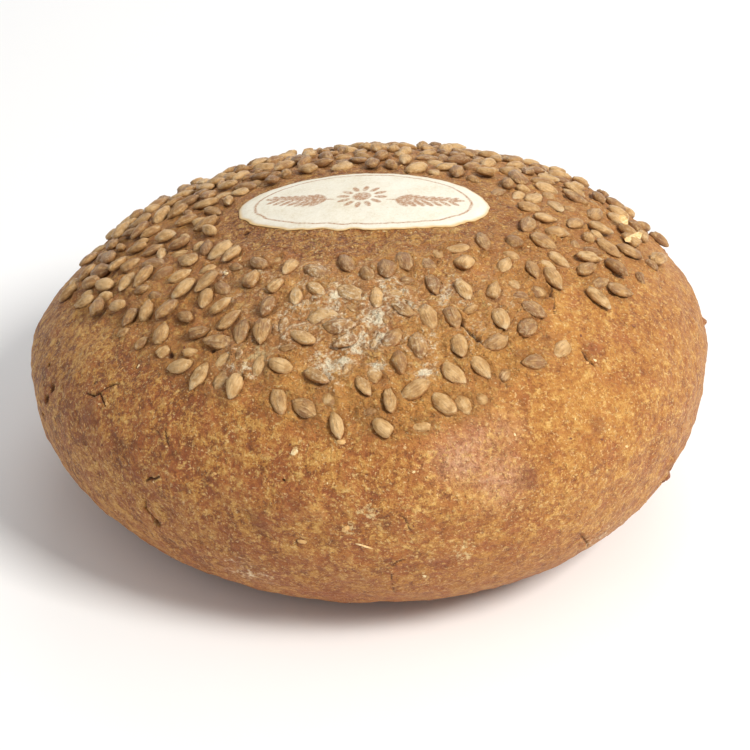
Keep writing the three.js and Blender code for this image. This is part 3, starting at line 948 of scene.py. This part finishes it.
flake_count = FLAKE_CORNERS + 2
mesh = bpy.data.meshes.new("bran_flakes")
faces = [[v + n * flake_count for v in face] for n in range(len(flakes)) for face in flake_faces]
mesh.from_pydata((np.concatenate(laid_flakes) * MM).tolist(), [], faces)
bran_flakes = bpy.data.objects.new("bran_flakes", mesh)
bpy.context.scene.collection.objects.link(bran_flakes)
paint(bran_flakes, "flake_tone", np.repeat([row[5] for row in flakes], flake_count))

flaked = Recipe("bran_flake")
flake_grain = flaked.noise(flaked.millimetres(), 0.8, detail=3)
flake_tone = flaked.plus(flaked.painted("flake_tone"), flaked.remap(flake_grain, 0.3, 0.7, -0.12, 0.12))
flaked.shade = flaked.ramp(flake_tone, [
    (0.10, colour(118, 66, 38)),
    (0.25, colour(176, 112, 60)),
    (0.55, colour(208, 152, 88)),
    (0.80, colour(226, 182, 118)),
    (0.98, colour(240, 216, 166)),
])
flaked.fill(flaked.surface, Base_Color=flaked.shade, Roughness=0.6, Normal=flaked.relief(flake_grain, 0.3))
mesh.materials.append(flaked.material)
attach(bran_flakes, "root")

# ---------------------------------------------------------------------------------------------------------
# Wafer label
# Edible wafer, off-white and faintly fibrous, with an edge that waves and has browned in the oven. Its print
# is a sunflower's head between two wheat ears in a thin oval line, in brown food ink faded into the wafer.

LABEL_STEPS = (230, 120)
LABEL_LIFT = 0.05
EDGE_WAVE, EDGE_CRINKLE = 1.0, 0.35
WAFER_THICKNESS, WAFER_CRINKLE, EDGE_DROP = 0.16, 0.1, 0.25

bpy.ops.object.select_all(action="DESELECT")
bpy.ops.mesh.primitive_grid_add(x_subdivisions=LABEL_STEPS[0], y_subdivisions=LABEL_STEPS[1], size=2)
wafer_label = bpy.context.object
wafer_label.name = "wafer_label_baked"
square = points_of(wafer_label)
# The square grid's points go out to a disc
disc_x = square[:, 0] * np.sqrt(1 - square[:, 1] ** 2 / 2)
disc_y = square[:, 1] * np.sqrt(1 - square[:, 0] ** 2 / 2)
rim_share = np.hypot(disc_x, disc_y)
rim_angle = np.arctan2(disc_y, disc_x)
front = soft_step(-np.sin(rim_angle), -0.3, 0.6)


def edge_noise(spacing, offset):
    """Uneven waves along the label's edge, about this many millimetres long."""
    rim_x, rim_y = np.cos(rim_angle) * LABEL_HALF_LENGTH, np.sin(rim_angle) * LABEL_HALF_WIDTH
    return np.array([noise.noise(Vector((x / spacing, y / spacing, offset))) for x, y in zip(rim_x, rim_y)])


wave = EDGE_WAVE * edge_noise(5.5, 3.0) * (0.45 + 0.9 * front) + EDGE_CRINKLE * edge_noise(2.2, 9.0)
along = disc_x * LABEL_HALF_LENGTH + np.cos(rim_angle) * wave * rim_share**4
aside = disc_y * LABEL_HALF_WIDTH + np.sin(rim_angle) * wave * rim_share**4
plan_x = LABEL_X + along * math.cos(LABEL_TURN) - aside * math.sin(LABEL_TURN)
plan_y = LABEL_Y + along * math.sin(LABEL_TURN) + aside * math.cos(LABEL_TURN)
label_azimuth = np.arctan2(plan_y, plan_x)
label_polar = np.maximum(1e-3, polar_above(np.hypot(plan_x, plan_y), label_azimuth))
crinkle = np.array([noise.fractal(Vector((x / 7, y / 7, 0.3)), 0.7, 2.0, 3) for x, y in zip(along, aside)])
height = LABEL_GAP + LABEL_LIFT + WAFER_CRINKLE * crinkle - EDGE_DROP * soft_step(rim_share, 0.93, 1.0)
laid = crust_point(label_polar, label_azimuth) + crust_normal(label_polar, label_azimuth) * height[:, None]
move_points(wafer_label, laid * MM)

# The print: on each side an ear with grains in pairs along its stalk, a sunflower's head between them, and
# the oval line
EAR_PAIRS = 7
EAR_START, EAR_END = 11.0, 27.0
EAR_GRAIN = (6.2, 2.3)
HEAD_RADIUS, PETAL_GAP, PETALS, PETAL = 2.9, 0.9, 12, (4.2, 1.8)
OVAL_SHARE, OVAL_HALF_WIDTH = 0.86, 0.32


def ink_of_grain(centre_x, centre_y, angle, length, width):
    """How much ink an oval mark leaves at each point of the label, from 0 to 1."""
    dx, dy = along - centre_x, aside - centre_y
    u = dx * math.cos(angle) + dy * math.sin(angle)
    v = -dx * math.sin(angle) + dy * math.cos(angle)
    return 1 - soft_step(np.hypot(u / (length / 2), v / (width / 2)), 0.85, 1.1)


marks = []
for side in (-1, 1):
    for n in range(EAR_PAIRS):
        share = n / (EAR_PAIRS - 1)
        stalk_x, stalk_y = between((EAR_START, EAR_END), share), 3.0 * share**2 - 1.5
        size = 1 - 0.3 * share
        for up in (-1, 1):
            angle = 0.2 * share + up * 0.75
            centre_x = stalk_x + 0.5 * EAR_GRAIN[0] * size * math.cos(angle)
            centre_y = stalk_y + 0.5 * EAR_GRAIN[0] * size * math.sin(angle)
            angle = angle if side > 0 else math.pi - angle
            marks.append((side * centre_x, centre_y, angle, EAR_GRAIN[0] * size, EAR_GRAIN[1] * size))
        marks.append((side * (stalk_x - 1.0), stalk_y - 0.1, 0.1 * side, 4.4, 0.7))
    marks.append((side * (EAR_END + 2.6), 2.6, 0.4 * side, 4.6, 1.7))
for n in range(PETALS):
    angle = 2 * math.pi * n / PETALS
    reach = HEAD_RADIUS + PETAL_GAP + PETAL[0] / 2
    marks.append((reach * math.cos(angle), reach * math.sin(angle), angle, *PETAL))
marks.append((0, 0, 0, 2 * HEAD_RADIUS, 2 * HEAD_RADIUS))
ink = np.max([ink_of_grain(*mark) for mark in marks], axis=0)
oval_gap = np.abs(rim_share - OVAL_SHARE) * LABEL_HALF_WIDTH * (1 + 0.6 * np.abs(np.cos(rim_angle)))
ink = np.maximum(ink, 1 - soft_step(oval_gap, OVAL_HALF_WIDTH * 0.6, OVAL_HALF_WIDTH * 1.6))
paint(wafer_label, "ink", ink)
paint(wafer_label, "rim", rim_share)
paint(wafer_label, "front", front)

bpy.context.view_layer.objects.active = wafer_label
thicken = wafer_label.modifiers.new("wafer_thickness", "SOLIDIFY")
thicken.thickness = WAFER_THICKNESS * MM
thicken.offset = 1
bpy.ops.object.modifier_apply(modifier=thicken.name)
bpy.ops.object.shade_smooth()

wafer = Recipe("baked_wafer")
sheet_place = wafer.millimetres()
fibres = wafer.noise(sheet_place, 0.9, detail=4, roughness=0.7, distortion=0.8)
blotches = wafer.noise(sheet_place, 8, detail=3)
mottled = wafer.plus(wafer.times(fibres, 0.55), wafer.times(blotches, 0.45))
wafer.shade = wafer.ramp(mottled, [
    (0.36, colour(220, 210, 186)),
    (0.48, colour(231, 224, 206)),
    (0.62, colour(237, 232, 217)),
])
ink_break = wafer.remap(wafer.noise(sheet_place, 0.8, detail=3, roughness=0.7), 0.38, 0.56, 0.45, 1.0)
ink_share = wafer.times(wafer.times(wafer.painted("ink"), ink_break), 0.85)
wafer.coat(ink_share, 168, 118, 80)
# The edge is toasted, more so at the front
edge_share = wafer.plus(wafer.painted("rim"), wafer.times(fibres, 0.03))
edge_share = wafer.plus(edge_share, wafer.times(wafer.painted("front"), 0.022))
wafer.coat(wafer.remap(edge_share, 0.985, 1.03, 0, 0.8), 216, 174, 100)
wafer.fill(wafer.surface, Base_Color=wafer.shade, Roughness=0.8, Specular_IOR_Level=0.2,
           Normal=wafer.relief(fibres, 0.2))
wafer_label.data.materials.append(wafer.material)

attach(wafer_label, "root")
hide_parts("wafer_label")
